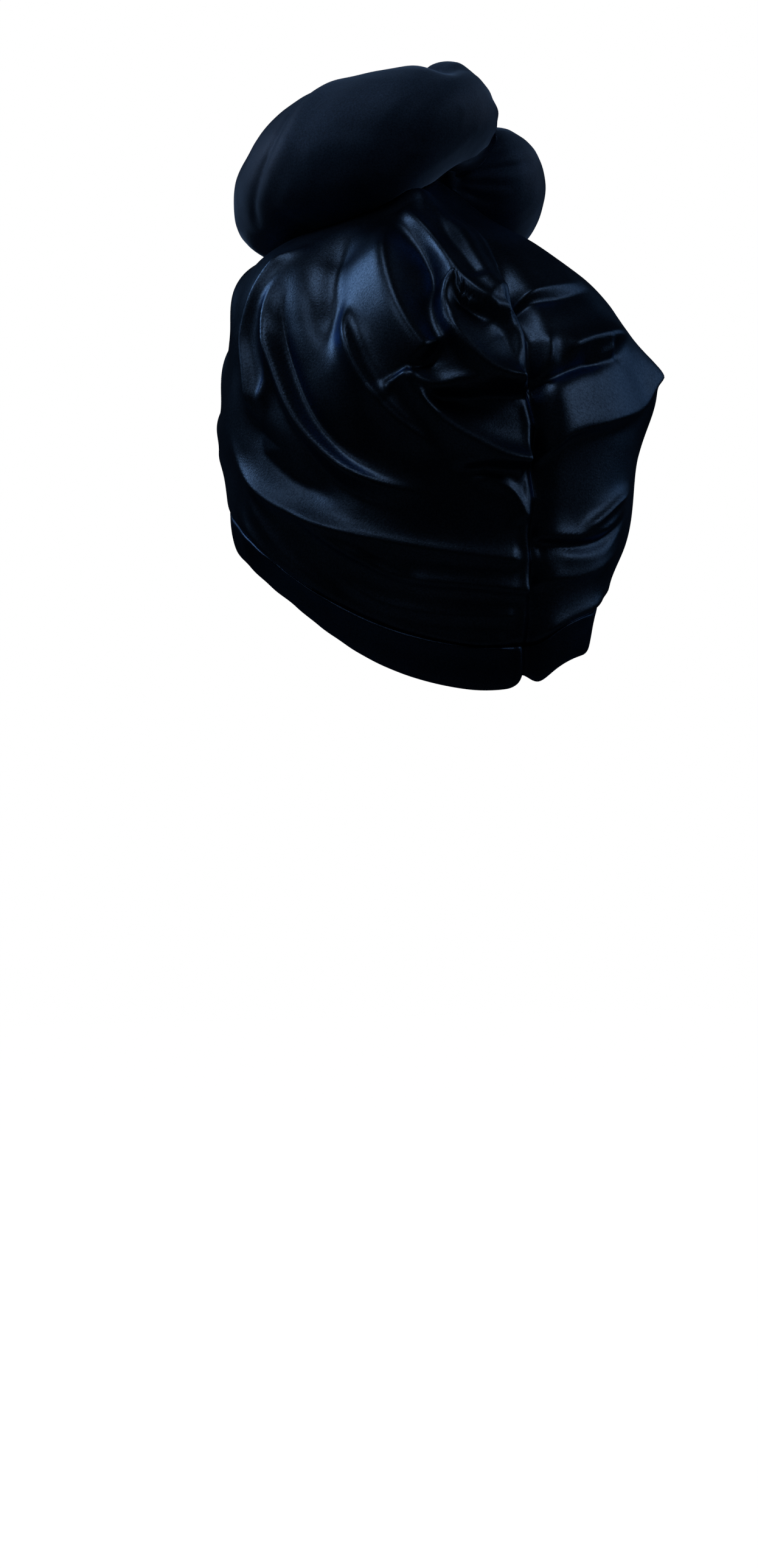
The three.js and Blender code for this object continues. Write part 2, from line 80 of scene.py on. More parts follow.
# %% [markdown]
# ## The shape of the cap
# Cloth on a head follows the head until a fold lifts it, so the cap is made in two steps. The first is the
# tight form: a table of how far the cloth stands from the head's axis to the back, the front and the sides.
# Two numbers name a place on it. *Angle* goes round from the centre back, positive towards the wearer's
# left. *Height* is z up to the equator and then follows the dome to the crown. This is the same table that
# the CAD model has, because the two must agree.

# %% The tight form
EQUATOR = 95.0
DOME_RADIUS = 100.0
CROWN = EQUATOR + DOME_RADIUS * math.pi / 2

# height: z up to the equator, then the dome's tilt in degrees turned into millimetres
dome = lambda tilt: EQUATOR + DOME_RADIUS * math.radians(tilt)
SECTIONS = np.array([
    # height, back, front, side
    [-20, 78, 76, 50],
    [0, 82, 84, 56],
    [30, 86, 90, 65],
    [60, 90, 92, 76],
    [EQUATOR, 91, 94, 80],
    [dome(20), 92, 98, 85],
    [dome(32), 91, 102, 92],
    [dome(41), 90, 107, 98],
    [dome(50), 91, 110, 101],
    [dome(70), 94, 107, 99],
    [dome(90), 96, 96, 96],
])


def through_rows(column, height):
    """A column of the table at any height: cubic pieces whose slope at a row is that of the line from the row
    before it to the row after it."""
    at, value = SECTIONS[:, 0], SECTIONS[:, column]
    slope = np.empty_like(value)
    slope[1:-1] = (value[2:] - value[:-2]) / (at[2:] - at[:-2])
    slope[0] = (value[1] - value[0]) / (at[1] - at[0])
    slope[-1] = (value[-1] - value[-2]) / (at[-1] - at[-2])
    i = np.clip(np.searchsorted(at, height) - 1, 0, len(at) - 2)
    span = at[i + 1] - at[i]
    t = np.clip((height - at[i]) / span, 0, 1)
    return (
        (2 * t**3 - 3 * t**2 + 1) * value[i]
        + (t**3 - 2 * t**2 + t) * span * slope[i]
        + (3 * t**2 - 2 * t**3) * value[i + 1]
        + (t**3 - t**2) * span * slope[i + 1]
    )


def tight_cloth(angle, height):
    """Distance of the tight cloth from the axis: an ellipse whose half-length differs to the back and the front."""
    c, s = np.cos(np.radians(angle)), np.sin(np.radians(angle))
    lengthwise = np.where(c > 0, through_rows(1, height), through_rows(2, height))
    return 1 / np.hypot(c / lengthwise, s / through_rows(3, height))


def outward(angle, height):
    """The direction away from the axis below the equator, and away from the dome's centre above it."""
    tilt, turn = np.clip((height - EQUATOR) / DOME_RADIUS, 0, math.pi / 2), np.radians(angle)
    return np.stack([np.cos(tilt) * np.sin(turn), np.cos(tilt) * np.cos(turn), np.sin(tilt)], axis=-1)


def cap_point(angle, height, distance):
    """The centre that a height is measured from, plus the outward direction times a distance."""
    centre = np.zeros(np.shape(distance) + (3,))
    centre[..., 2] = np.minimum(height, EQUATOR)
    return centre + outward(angle, height) * np.asarray(distance)[..., None]


def on_tight_cloth(angle, height):
    return cap_point(angle, height, tight_cloth(angle, height))


print("crown at z =", round(float(on_tight_cloth(np.array(0.0), np.array(CROWN))[2]), 1), "mm")

# %% [markdown]
# ## Folds
# The second step lifts the folds. A sculptor would pull each one by hand, and a cloth simulation would find
# some of its own, but neither gives these pleats in these places. So each fold is one row: a line on the
# cap, how high it rises, how round its crest is, and how far it spreads above and below the line. A short
# spread on one side and a long one on the other gives the overhanging edge of a pleat. *Lean* slides the
# crest down over the cloth below.

# %% The fold tables
Fold = namedtuple("Fold", "path rise lean crest above below fade_in fade_out")
LEFT_FOLDS = {
    "tongue 1": Fold(
        [(60, 243), (38, 228), (19, 206), (14, 184), (10, 167), (4, 154)],
        8, 0, 9, 3.5, 3, 0.2, 0.12,
    ),
    "valley 1": Fold([(36, 228), (25, 213), (18, 190), (14, 175), (11, 165)], -3.5, 0, 2, 3, 3, 0.25, 0.2),
    "pleat 2": Fold(
        [(50, 222), (44, 215), (30, 198), (23, 179), (19, 167), (15, 158), (10, 152), (4, 153)],
        5.5, 0, 2.5, 3, 1.8, 0.25, 0.05,
    ),
    "hook": Fold([(23, 162), (19, 155), (14, 150), (10, 148)], -3.5, 0, 1.4, 1.5, 3, 0.3, 0.5),
    "pleat 3": Fold(
        [(20, 167), (23.5, 165), (25, 156), (24, 147), (21, 137), (17, 129), (11, 122), (3, 120)],
        8, 0, 1.8, 7, 1.6, 0.06, 0.05,
    ),
    "scallop valley": Fold([(12, 148), (8, 141), (6, 131), (3, 123)], -2, 0, 3, 3, 3, 0.3, 0.1),
    "valley 3": Fold(
        [(45, 210), (33, 195), (28, 181), (27, 170), (26.5, 157), (24, 146), (22, 136)],
        -4, 0, 1.5, 1.5, 4, 0.3, 0.3,
    ),
    "broad 4": Fold(
        [(54, 216), (48, 194), (42, 170), (37, 152), (32, 138), (28, 130)],
        8, 0, 5, 3, 7, 0.3, 0.1,
    ),
    "ledge 5": Fold(
        [(34, 126), (31, 121), (26, 119), (20, 121), (12, 120.5), (3, 119)],
        3, 0, 1.5, 4, 1, 0.15, 0.05,
    ),
    "pocket 5": Fold([(31, 115), (24, 115), (16, 115), (8, 116), (3, 116)], -6, 0, 1, 0.8, 12, 0.2, 0),
    "pleat 5": Fold(
        [(35, 127), (33, 119), (28, 110), (23, 102), (17, 96), (10, 91), (2, 88)],
        8, 0, 2, 4, 4, 0.1, 0.05,
    ),
    "ledge 7": Fold([(24, 87), (17, 89), (10, 89), (2, 89)], 2, 0.5, 1.5, 3.5, 1, 0.3, 0.05),
    "pocket 7": Fold([(24, 83), (15, 85), (8, 85), (2, 86)], -3.5, 0, 1, 0.8, 10, 0.3, 0),
    "arc 7": Fold([(19, 82), (11, 80), (6, 74), (3, 64)], 3, 0, 2, 2, 2.5, 0.2, 0.1),
    "swirl 6": Fold(
        [(57, 166), (54, 150), (49, 132), (43, 117), (35, 103), (24, 88)],
        6, 0, 1.6, 2.5, 4, 0.3, 0.2,
    ),
    "swirl 8": Fold(
        [(84, 178), (85, 156), (75, 129), (65, 105), (54, 89), (40, 79), (22, 74)],
        6.5, 0, 1.5, 2.5, 3, 0.3, 0.3,
    ),
    "swirl 9": Fold(
        [(106, 112), (98, 92), (82, 76), (58, 64), (35, 56), (17, 52), (3, 50)],
        3.5, 0.5, 1.4, 3, 2.5, 0.3, 0.05,
    ),
    "side 10": Fold([(84, 192), (91, 170), (95, 148), (91, 130), (87, 108)], 5, 0, 1.8, 3, 3, 0.2, 0.15),
    "side 10 b": Fold([(82, 150), (82, 129), (86, 111)], 2.5, 0, 1.2, 1.8, 2, 0.5, 0.3),
    "low 12": Fold(
        [(104, 76), (92, 60), (80, 48), (62, 34), (37, 21), (16, 16), (3, 15)],
        3, 0, 1.6, 4, 1.8, 0.15, 0.1,
    ),
    "low 13": Fold([(98, 84), (83, 60), (68, 44), (51, 31)], 1.5, 0, 1.5, 3, 3, 0.2, 0.3),
    "low 14": Fold(
        [(74, 72), (64, 63), (51, 53), (35, 43), (17, 40), (3, 38)],
        4.5, 0.5, 1.4, 5, 1.5, 0.45, 0,
    ),
    "low 15": Fold([(47, 56), (39, 47), (30, 40)], -2, 0, 1, 2, 4, 0.3, 0.3),
    "low 16": Fold([(60, 46), (44, 34), (28, 29), (15, 28), (3, 28)], 2, 0.3, 1.3, 3, 1.6, 0.2, 0.1),
    "valley 8": Fold(
        [(92, 150), (80, 125), (70, 102), (58, 83), (44, 72), (28, 66)],
        -2.5, 0, 2, 2.5, 4, 0.3, 0.4,
    ),
    "hollow 4": Fold([(74, 210), (67, 188), (62, 167), (58, 148), (52, 132)], -6, 0, 6, 6, 5, 0.3, 0.4),
    "hollow 9": Fold([(98, 128), (86, 100), (70, 82), (48, 70)], -4.5, 0, 4, 5, 5, 0.3, 0.3),
    "valley 8 b": Fold(
        [(80, 172), (78, 151), (69, 124), (59, 101), (48, 87), (34, 78)],
        -3.5, 0, 1.5, 5, 1.5, 0.3, 0.4,
    ),
}
RIGHT_FOLDS = {
    "crease 1": Fold([(3, 160), (-2, 164), (-9, 168), (-24, 173), (-45, 178)], 2, 0, 0.8, 4, 1, 0, 0.5),
    "crease 1 b": Fold([(4, 157), (-2, 160), (-9, 164), (-24, 168), (-45, 173)], -2.5, 0, 1, 1, 6, 0, 0.4),
    "ridge 2": Fold([(-8, 133), (-15, 139), (-24, 143), (-38, 147), (-52, 151)], 5, 0, 2, 4, 2, 0.2, 0.4),
    "ridge 2 b": Fold([(-6, 148), (-5, 136), (-4, 130), (-2, 123)], 2.2, 0, 2, 2, 2, 0.25, 0.1),
    "ridge 2 c": Fold([(-18, 133), (-26, 137), (-30, 141)], 2.4, 0, 1.5, 2, 2.5, 0.3, 0.3),
    "crease 3": Fold([(1, 120), (-6, 125), (-15, 131), (-27, 135), (-42, 141)], -5, 0, 1, 3, 2.5, 0, 0.4),
    "step 4": Fold(
        [(0, 89), (-4, 96), (-9, 102), (-23, 108), (-41, 116), (-50, 126), (-60, 132)],
        4.5, 1, 2.2, 12, 1.5, 0, 0.1,
    ),
    "ridge 6": Fold([(-12, 61), (-20, 68), (-29, 75), (-42, 82)], 3, 0, 0.8, 1.6, 1.8, 0.25, 0.3),
    "crescent 7": Fold(
        [(1, 61), (-3, 60), (-8, 60), (-16, 61), (-26, 66), (-40, 77)],
        2.5, 0.5, 1, 4, 1, 0, 0.3,
    ),
    "pocket 7": Fold([(0, 57), (-8, 56), (-16, 57), (-26, 61), (-38, 71)], -3, 0, 1, 0.8, 4, 0.1, 0.3),
    "crescent 8": Fold([(-5, 53), (-10, 52), (-18, 53), (-27, 58), (-40, 71)], 1.5, 0, 1.2, 2, 3, 0.3, 0.3),
    "crease 9": Fold([(2, 40), (-5, 43), (-14, 45), (-26, 51), (-38, 60)], 2.5, 1, 1.5, 5, 1.5, 0, 0.4),
    "low 10": Fold([(1, 18), (-8, 25), (-21, 32), (-40, 43)], 2.5, 0.5, 1.5, 4, 2, 0.1, 0.3),
    "side 11": Fold([(-84, 162), (-90, 140), (-84, 112), (-70, 95)], 3, 0, 3, 6, 5, 0.3, 0.3),
    "side 12": Fold([(-98, 80), (-80, 52), (-56, 42), (-30, 38)], 2.5, 0, 2, 5, 4, 0.2, 0.2),
}
FRONT_FOLDS = {
    "fan 1": Fold([(174, 196), (150, 184), (124, 166), (104, 140)], 5, 0.5, 3, 4, 4, 0.1, 0.5),
    "fan 2": Fold([(176, 180), (155, 160), (132, 138), (112, 116)], 5, 0.5, 3, 4, 4, 0.1, 0.5),
    "fan 3": Fold([(177, 160), (160, 136), (136, 116), (110, 98)], 5, 0.5, 3, 4, 4, 0.1, 0.5),
    "fan 4": Fold([(178, 136), (160, 116), (136, 101), (110, 86)], 4, 0.5, 3, 4, 4, 0.1, 0.5),
}
# broad swellings of loose cloth, hollows above the hem, and the peak where the cloth is gathered into the
# knot
Swelling = namedtuple("Swelling", "angle height spread rise")
SWELLINGS = [
    Swelling(180, 243, 20, 17),
    Swelling(60, 232, 26, 4),
    Swelling(14, 150, 34, 5),
    Swelling(-58, 126, 17, 9),
    Swelling(-30, 150, 30, 3),
    Swelling(-52, 26, 24, -9),
    Swelling(-68, 186, 20, -5),
    Swelling(117, 182, 32, 4),
    Swelling(117, 100, 55, 3),
]
print(len(LEFT_FOLDS), "folds on the left,", len(RIGHT_FOLDS), "on the right,")
print(len(FRONT_FOLDS), "on each side in front")

# %% Lifting one fold
FOLD_STEPS = 40


def rising(value, start, end):
    """A smooth step from 0 to 1 between two values."""
    t = np.clip((value - start) / (end - start), 0, 1)
    return t * t * (3 - 2 * t)


def curve_through(points, steps):
    """A smooth line through a few points: a Catmull-Rom curve, with its end points repeated."""
    p = np.array(points, float)
    p = np.vstack([2 * p[0] - p[1], p, 2 * p[-1] - p[-2]])
    at = np.linspace(0, len(points) - 1, steps + 1)
    i = np.minimum(at.astype(int), len(points) - 2)
    t = (at - i)[:, None]
    a, b, c, d = p[i], p[i + 1], p[i + 2], p[i + 3]
    return 0.5 * (2 * b + (c - a) * t + (2 * a - 5 * b + 4 * c - d) * t**2 + (3 * b - a - 3 * c + d) * t**3)


def lift(fold, line, place, up_direction):
    """How far a fold moves each point. Its height falls from the crest as exp((c - sqrt(d² + c²)) / spread), where
    d is the distance from the fold's line in space and c is the crest's roundness, and it fades towards the ends
    of the line."""
    reach = 6 * max(fold.above, fold.below) + fold.crest
    near = np.flatnonzero(((place > line.min(0) - reach) & (place < line.max(0) + reach)).all(1))
    moved = np.zeros_like(place)
    if not len(near):
        return moved
    p = place[near][:, None, :]
    start, along = line[:-1], np.diff(line, axis=0)
    t = np.clip(((p - start) * along).sum(2) / (along**2).sum(1), 0, 1)
    offset = p - start - t[..., None] * along
    nearest = (offset**2).sum(2).argmin(1)
    rows = np.arange(len(near))
    offset, t = offset[rows, nearest], t[rows, nearest]
    across = np.cross(up_direction[near], along[nearest])
    across /= np.linalg.norm(across, axis=1, keepdims=True)
    share = (nearest + t) / len(along)
    distance = np.linalg.norm(offset, axis=1)
    side = np.clip((offset * across).sum(1) / np.maximum(distance, 1e-9), -1, 1)
    spread = fold.below + (fold.above - fold.below) * (0.5 + 0.5 * side)
    shape = np.exp((fold.crest - np.hypot(distance, fold.crest)) / spread)
    if fold.fade_in:
        shape *= rising(share, 0, fold.fade_in)
    if fold.fade_out:
        shape *= 1 - rising(share, 1 - fold.fade_out, 1)
    moved[near] = shape[:, None] * (fold.rise * up_direction[near] - fold.lean * across)
    return moved


def lift_on_cap(fold, place, up_direction):
    """The same, with the fold's line drawn on the tight form."""
    route = curve_through(fold.path, FOLD_STEPS)
    return lift(fold, on_tight_cloth(route[:, 0], route[:, 1]), place, up_direction)


# %% [markdown]
# ## The seams
# The centre-back seam is a narrow trench that all the pleats dive into. The left half rolls into it like
# the edge of a cushion, and the right half slopes down to it. Wherever a pleat is caught in the seam it is
# pulled deeper and a little to the left, which gives the seam its scalloped line. One short table says how
# far, at each height.

# %% Seams and the full relief
BACK_SEAM = np.array([
    # height, how far it runs to the wearer's left, depth
    [0, 0.5, 2],
    [17, 1.0, 3.5],
    [28, 0.8, 3],
    [39, 1.2, 4],
    [50, 1.2, 3],
    [60, 2.0, 5],
    [74, 0.8, 3],
    [87, 1.5, 6.5],
    [104, 0.5, 4.5],
    [121, 2.0, 9],
    [142, 0.8, 5],
    [162, 2.2, 10],
    [174, 1.0, 6],
    [190, -1.0, 2],
    [208, -3.0, 0],
    [240, -1.0, 0],
])
LEFT_EDGE, RIGHT_EDGE = 2.6, 6.0  # the left half dives into the seam steeply, and the right half slopes down to it
FRONT_SEAM_DEPTH, FRONT_SEAM_WIDTH = 5, 7
SEAM_ROLL = 2.4  # each fold rolls down to the seam over this distance
WELT = 1.0  # height of the rolled edge beside the seam
HEAD_CLEARANCE = 3.0
SEAM_SINK = 5.0  # the seam allowance may press this far into the hair


def head_surface(angle, height):
    """The head inside, which no fold can press into: a level ellipse that narrows to the neck, under a dome."""
    c, s = np.cos(np.radians(angle)), np.sin(np.radians(angle))
    level = 1 / np.hypot(c / np.where(c > 0, 86, 88), s / 75.5)
    tilt = np.clip((height - EQUATOR) / DOME_RADIUS, 0, math.pi / 2)
    above = 1 / np.hypot(np.cos(tilt) / level, np.sin(tilt) / 84)
    below = level * (0.7 + 0.3 * np.clip(height, 0, EQUATOR) / EQUATOR)
    return np.where(height > EQUATOR, above, below)


def smooth_rise(place):
    """The swellings alone: each is a round bump exp(-(distance / spread)²) high."""
    rise = np.zeros(len(place))
    for swelling in SWELLINGS:
        centre = on_tight_cloth(np.array(float(swelling.angle)), np.array(float(swelling.height)))
        rise += swelling.rise * np.exp(-((np.linalg.norm(place - centre, axis=1) / swelling.spread) ** 2))
    return rise


def outer_cloth(angle, height, side, folds_show=1.0):
    """Points on the outer face of one half of the cap, with its folds, its swellings and its seam edges."""
    shape = angle.shape
    angle, height = angle.ravel(), height.ravel()
    folds_show = np.broadcast_to(folds_show, shape).ravel()
    tight = tight_cloth(angle, height)
    place, direction = cap_point(angle, height, tight), outward(angle, height)
    x, at_back = place[:, 0], place[:, 1] > 0
    moved = np.zeros_like(place)
    for name, fold in {**(LEFT_FOLDS if side > 0 else RIGHT_FOLDS), **FRONT_FOLDS}.items():
        if name in FRONT_FOLDS and side < 0:
            mirrored_path = [(-a, h) for a, h in reversed(fold.path)]
            fold = fold._replace(path=mirrored_path, fade_in=fold.fade_out, fade_out=fold.fade_in)
        moved += lift_on_cap(fold, place, direction)
    moved *= ((1 - np.exp(-((x / SEAM_ROLL) ** 2))) * folds_show)[:, None]
    off_crown = rising(np.hypot(x, place[:, 1]), 5, 40)
    depth = np.where(at_back, np.interp(height, BACK_SEAM[:, 0], BACK_SEAM[:, 2]), FRONT_SEAM_DEPTH)
    width = np.where(at_back, LEFT_EDGE if side > 0 else RIGHT_EDGE, FRONT_SEAM_WIDTH)
    seam = off_crown * np.exp(-((x / width) ** 2))
    rise = smooth_rise(place) - depth * seam
    if side > 0:
        rise += WELT * off_crown * at_back * np.exp(-(((x - 4) / 2.5) ** 2))
    moved += rise[:, None] * direction
    # no point is pushed into the head, apart from the seam allowance
    inward = (moved * direction).sum(1)
    lowest = head_surface(angle, height) + HEAD_CLEARANCE - SEAM_SINK * seam * at_back - tight
    moved += np.maximum(lowest - inward, 0)[:, None] * direction
    shift = np.interp(height, BACK_SEAM[:, 0], BACK_SEAM[:, 1]) * off_crown * at_back
    moved[:, 0] += shift * np.exp(-((angle / 16) ** 2))
    return (place + moved).reshape(*shape, 3)


# %% [markdown]
# ## From a grid to a mesh
# Each half is a sheet with a real thickness. The outer face is a grid of points, the inner face is the same
# grid moved inwards, and four narrow strips close the rim. A Solidify modifier would do the same, but it
# offsets along normals and crosses itself in tight creases, while moving every point towards the head's
# axis can't.

# %% Mesh helpers
def mesh_object(name, points, faces):
    """A smooth-shaded object from points in millimetres and a list of faces."""
    mesh = bpy.data.meshes.new(name)
    mesh.from_pydata((points * MM).tolist(), [], faces.tolist() if hasattr(faces, "tolist") else faces)
    mesh.polygons.foreach_set("use_smooth", np.ones(len(mesh.polygons), bool))
    piece = bpy.data.objects.new(name, mesh)
    bpy.context.scene.collection.objects.link(piece)
    return piece


def grid_faces(rows, columns, first=0, flip=False):
    """Quads of a grid of points that are numbered row by row."""
    index = first + np.arange(rows * columns).reshape(rows, columns)
    quads = np.stack([index[:-1, :-1], index[:-1, 1:], index[1:, 1:], index[1:, :-1]], axis=-1).reshape(-1, 4)
    return quads[:, ::-1] if flip else quads


def wall_object(name, outer, inner, side):
    """A closed wall between two grids. Columns of the left half run the other way, so its faces are flipped."""
    rows, columns = outer.shape[:2]
    points = np.vstack([outer.reshape(-1, 3), inner.reshape(-1, 3)])
    o = np.arange(rows * columns).reshape(rows, columns)
    i = o + rows * columns
    flip = side > 0
    strips = []
    for a, b, turned in (
        (o[:, 0], i[:, 0], False),
        (o[:, -1], i[:, -1], True),
        (o[0], i[0], True),
        (o[-1], i[-1], False),
    ):
        strip = np.stack([a[:-1], a[1:], b[1:], b[:-1]], axis=-1)
        strips.append(strip[:, ::-1] if turned != flip else strip)
    faces = np.vstack([
        grid_faces(rows, columns, 0, flip),
        grid_faces(rows, columns, rows * columns, not flip),
        *strips,
    ])
    return mesh_object(name, points, faces)


# %% [markdown]
# ## The two halves of the cap
# The columns of the grid are closer together near the back seam, where the pleats are narrow, and the rows
# climb from the hem's stitched line to the crown.

# %% Cap halves
HEM_DEPTH = 17.0
HEM_GAP = 0.5
HEM_CORNER = 5.0
CLOTH = 2.2  # two layers of velvet
EDGE_ROUND = 1.1
COLUMNS, ROWS = 220, 196


def hem_height(angle, side):
    """The hem's lowest edge climbs from the nape to the forehead, and sooner on the wearer's right."""
    c = np.cos(np.radians(angle))
    off_seam = 1 - np.exp(-((angle / 10) ** 2))
    return 39 * (1 - c) + (-2.5 if side > 0 else 11 * np.maximum(c, 0)) * off_seam


def column_angles(side, columns):
    """Angles from the back seam to the front seam, in steps that grow with the distance from the back."""
    return side * 180 * np.linspace(0, 1, columns) ** 1.3


def cap_half(name, side):
    angle = column_angles(side, COLUMNS)[None, :]
    bottom = hem_height(angle, side) + HEM_DEPTH + HEM_GAP
    share = np.linspace(0, 1, ROWS)[:, None]
    height = bottom + (CROWN - bottom) * share
    angle = np.broadcast_to(angle, height.shape)
    outer = outer_cloth(angle, height, side)
    inner = outer - CLOTH * outward(angle, height)
    turned_in = EDGE_ROUND * np.exp(-((height - bottom) / EDGE_ROUND) ** 2)  # the lower edge is rolled under
    outer -= turned_in[..., None] * outward(angle, height)
    return wall_object(name, outer, inner, side), outer


left_panel, left_face = cap_half("left_panel_velvet", 1)
right_panel, right_face = cap_half("right_panel_velvet", -1)
print("cap halves:", len(left_panel.data.polygons), "and", len(right_panel.data.polygons), "faces")

# %% [markdown]
# ## The hem
# The hem is the same velvet folded double and stitched down, so it is a soft band with a round lower edge.
# Its cross-section is a small closed outline that is carried round the opening. Its upper edge is tucked in
# behind the cap, which hides the join.

# %% Hem bands
HEM_PROFILE = np.array([
    # share of the hem's depth, millimetres above it, millimetres in from the cloth's face
    [1.0, 4.0, 3.0],
    [1.0, 0.0, 2.2],
    [0.97, 0.0, 1.3],
    [0.88, 0.0, 0.5],
    [0.50, 0.0, 0.0],
    [0.18, 0.0, 0.1],
    [0.05, 0.0, 0.7],
    [0.0, 0.0, 1.8],
    [0.05, 0.0, 3.0],
    [0.25, 0.0, 3.3],
    [0.60, 0.0, 3.3],
    [0.90, 0.0, 4.2],
    [1.0, 4.0, 4.6],
])
HEM_STEPS = 36


def hem_band(name, side):
    """The outline of the hem's section, carried along the hem line from the back seam to the front."""
    section = curve_through(HEM_PROFILE, HEM_STEPS)[:, :, None]
    angle = column_angles(side, 200)[None, :]
    low = hem_height(angle, side) + HEM_CORNER * np.exp(-((angle / 3) ** 2))
    top = hem_height(angle, side) + HEM_DEPTH
    height = low + (top - low) * section[:, 0] + section[:, 1]
    angle = np.broadcast_to(angle, height.shape)
    seam_end = np.exp(-((angle / 2.2) ** 2))
    ripple = 0.35 * np.sin(np.radians(angle) * 23 + 1.3) * np.sin(np.radians(angle) * 7)
    face = outer_cloth(angle, height, side, folds_show=rising(section[:, 0], 0.3, 1.0))
    points = face - (section[:, 2] + 1.2 * seam_end + ripple)[..., None] * outward(angle, height)
    rows, columns = points.shape[:2]
    index = np.arange((rows - 1) * columns).reshape(rows - 1, columns)
    ring = np.vstack([index, index[:1]])
    quads = np.stack([ring[:-1, :-1], ring[:-1, 1:], ring[1:, 1:], ring[1:, :-1]], axis=-1).reshape(-1, 4)
    faces = (quads if side > 0 else quads[:, ::-1]).tolist()
    ends = [index[:, 0].tolist(), index[::-1, -1].tolist()]
    faces += [end if side > 0 else end[::-1] for end in ends]
    return mesh_object(name, points[:-1].reshape(-1, 3), faces)


hem_left = hem_band("hem_left_velvet", 1)
hem_right = hem_band("hem_right_velvet", -1)
print("hem bands:", len(hem_left.data.polygons), "and", len(hem_right.data.polygons), "faces")

# %% [markdown]
# ## The stuffed knot
# Two velvet tubes filled with soft stuffing are coiled on top: the larger one goes round from the throat,
# and the smaller one is tucked in behind it. Each starts as a swept tube in upright sections round the
# knot's axis. Then a short cloth simulation blows it up a little, which gives the tight skin and the small
# dents that stuffing has.

# %% Rolls
KNOT_X, KNOT_Y = 0.0, -38.0
OVER_ROLL = [
    # turn, out, z, wide, tall, lean
    (-56, 34, 235, 8, 9, 0),
    (-43, 33, 236, 17, 18, 0),
    (-12, 32, 235, 25.5, 24, 0),
    (27, 33, 223.5, 30, 33, 4),
    (50, 34, 219.5, 31, 34, 7),
    (75, 35, 218, 31, 33, 8),
    (120, 35, 211.5, 30.5, 34, 10),
    (165, 35, 207, 28, 30, 6),
    (200, 36, 208, 20, 22, 0),
    (216, 36, 208, 10, 10, 0),
]
UNDER_ROLL = [
    (-146, 34, 212, 9, 9, 0),
    (-130, 39, 210, 22, 23, 0),
    (-105, 43, 208, 26, 27, 0),
    (-75, 43, 209, 25, 28, 0),
    (-52, 40, 212, 21, 23, 0),
    (-34, 33, 212, 14, 15, 0),
    (-20, 29, 210, 7, 8, 0),
]


def roll_points(row, around, shrink=0.0, round_off=1.0):
    """An upright ellipse across the roll at each turn round the knot's axis. Lean slides its lower half outwards."""
    turn, out, z, wide, tall, lean = (row[:, k, None] for k in range(6))
    wide, tall, lean = (wide - shrink) * round_off, (tall - shrink) * round_off, lean * round_off
    out = out + wide * np.cos(around) - lean * np.sin(around)
    turn = np.radians(turn)
    points = (KNOT_X + out * np.sin(turn), KNOT_Y + out * np.cos(turn), z + tall * np.sin(around))
    return np.stack(np.broadcast_arrays(*points), axis=-1)


def roll_object(name, stations, steps, sides, shrink):
    """A tube through the stations, rounded off at both ends."""
    row = curve_through(stations, steps)
    share = np.linspace(0, 1, steps + 1)
    from_end = np.minimum(share, 1 - share) * (len(stations) - 1)
    round_off = np.sqrt(np.clip(1 - np.clip(1 - from_end / 0.75, 0, 1) ** 2, 0, 1))[:, None]
    around = np.linspace(0, 2 * np.pi, sides, endpoint=False)[None, :]
    points = roll_points(row, around, shrink, round_off)
    ring = np.arange((steps + 1) * sides).reshape(steps + 1, sides)
    ring = np.hstack([ring, ring[:, :1]])
    quads = np.stack([ring[:-1, :-1], ring[:-1, 1:], ring[1:, 1:], ring[1:, :-1]], axis=-1).reshape(-1, 4)
    piece = mesh_object(name, points.reshape(-1, 3), quads)
    apply_modifier(piece, "WELD", merge_threshold=0.01 * MM)
    return piece


def apply_modifier(piece, kind, **settings):
    """Adds a modifier, gives it its settings, and applies it."""
    modifier = piece.modifiers.new(kind.lower(), kind)
    for key, value in settings.items():
        setattr(modifier, key, value)
    bpy.context.view_layer.objects.active = piece
    bpy.ops.object.modifier_apply(modifier=modifier.name)


def coordinates(piece):
    points = np.empty(len(piece.data.vertices) * 3)
    piece.data.vertices.foreach_get("co", points)
    return points.reshape(-1, 3) / MM


def move_points(piece, points):
    piece.data.vertices.foreach_set("co", (points * MM).ravel())
    piece.data.update()


def inflate(piece, voxel=4.5, pressure=4.0, frames=20, most=5.0):
    """Blows a closed skin up with a short cloth simulation. No point may move further than a few millimetres."""
    apply_modifier(piece, "REMESH", mode="VOXEL", voxel_size=voxel * MM, use_smooth_shade=True)
    before = coordinates(piece)
    cloth = piece.modifiers.new("cloth", "CLOTH")
    cloth.settings.use_pressure = True
    cloth.settings.uniform_pressure_force = pressure
    cloth.settings.effector_weights.gravity = 0
    cloth.settings.tension_stiffness = cloth.settings.compression_stiffness = 12
    cloth.settings.bending_stiffness = 0.4
    scene = bpy.context.scene
    for number in range(1, frames + 1):
        scene.frame_set(number)
    bpy.context.view_layer.objects.active = piece
    bpy.ops.object.modifier_apply(modifier=cloth.name)
    scene.frame_set(1)
    moved = coordinates(piece) - before
    distance = np.linalg.norm(moved, axis=1, keepdims=True)
    move_points(piece, before + moved * np.minimum(1, most / np.maximum(distance, 1e-9)))
    print(piece.name, "blown up by", round(float(distance.mean()), 2), "mm on average, at most", most)


over_roll = roll_object("knot_over_roll_velvet", OVER_ROLL, 72, 40, 2.0)
under_roll = roll_object("knot_under_roll_velvet", UNDER_ROLL, 56, 36, 1.5)
inflate(over_roll)
inflate(under_roll)

# %% [markdown]
# The rolls rest on the cap, and the small roll is pressed against the large one. Where a roll would sink
# into the cap, its points are moved straight out to just above the cloth. A Shrinkwrap modifier set to
# *Outside* does the same between the two rolls.

